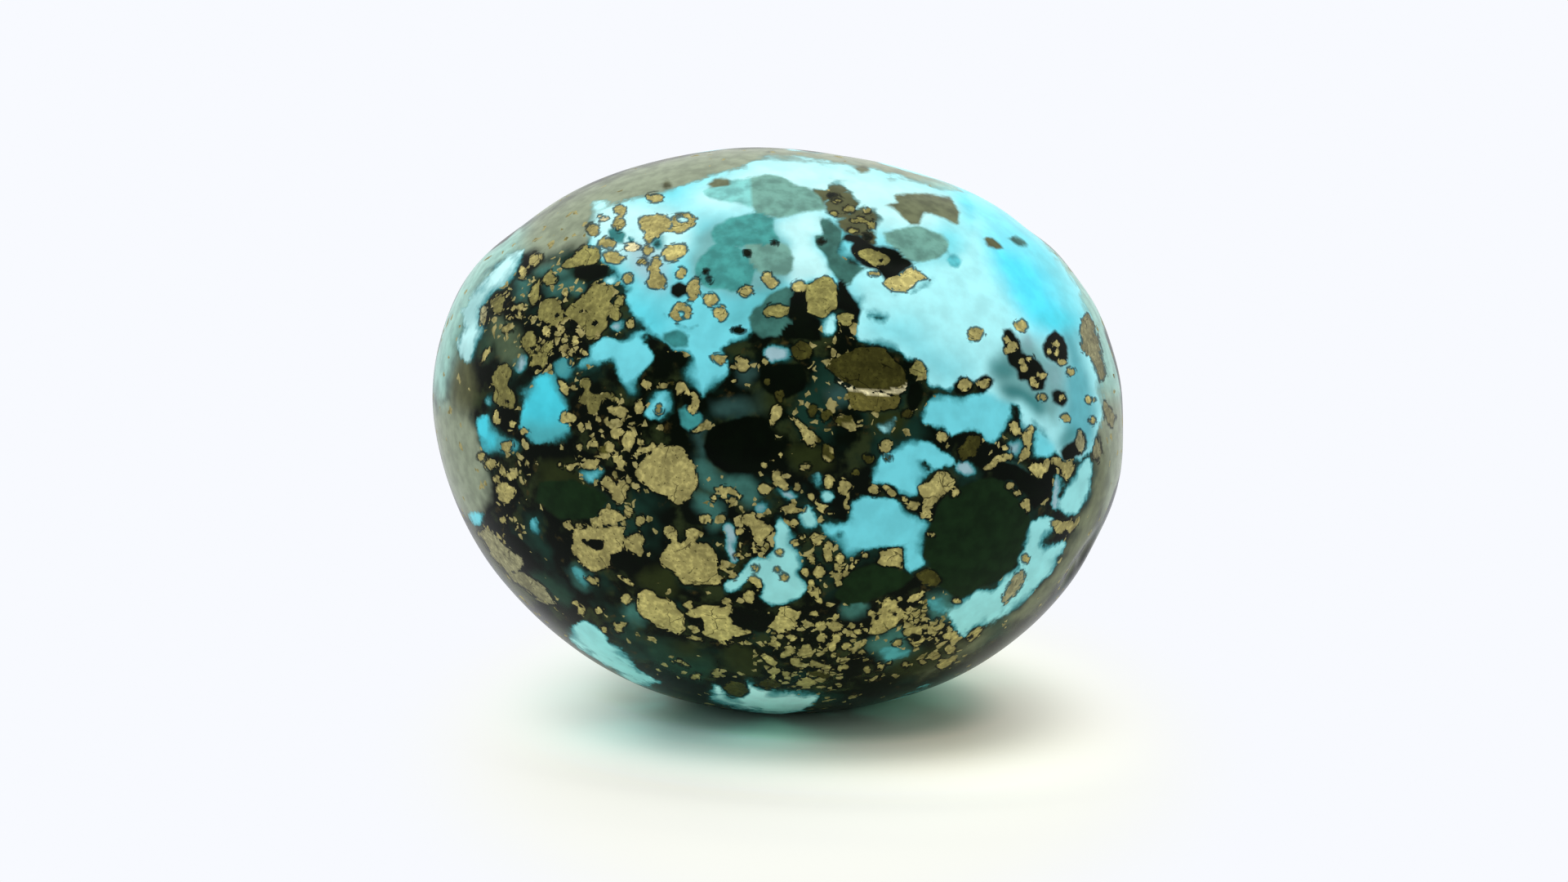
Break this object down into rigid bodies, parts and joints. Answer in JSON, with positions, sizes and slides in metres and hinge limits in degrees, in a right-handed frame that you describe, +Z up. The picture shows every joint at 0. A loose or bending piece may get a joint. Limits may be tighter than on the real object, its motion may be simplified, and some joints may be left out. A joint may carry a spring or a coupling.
{
  "type": "turquoise nugget",
  "caption": "Egg-shaped tumbled turquoise stone with dark matrix, grey-teal crystals and brassy pyrite grains; it lies on its side on a small worn flat.",
  "frame": {"origin": "on the surface that the stone rests on, under the middle of its box", "axes": "+X along the stone's longest way, -Y out of its best side, +Z up from the flat it rests on"},
  "size_m": [0.03, 0.026, 0.0242],
  "materials": {
    "turquoise_stone": "tumbled and polished"
  },
  "bodies": {
    "root": {"nugget": "turquoise_stone"}
  },
  "joints": []
}
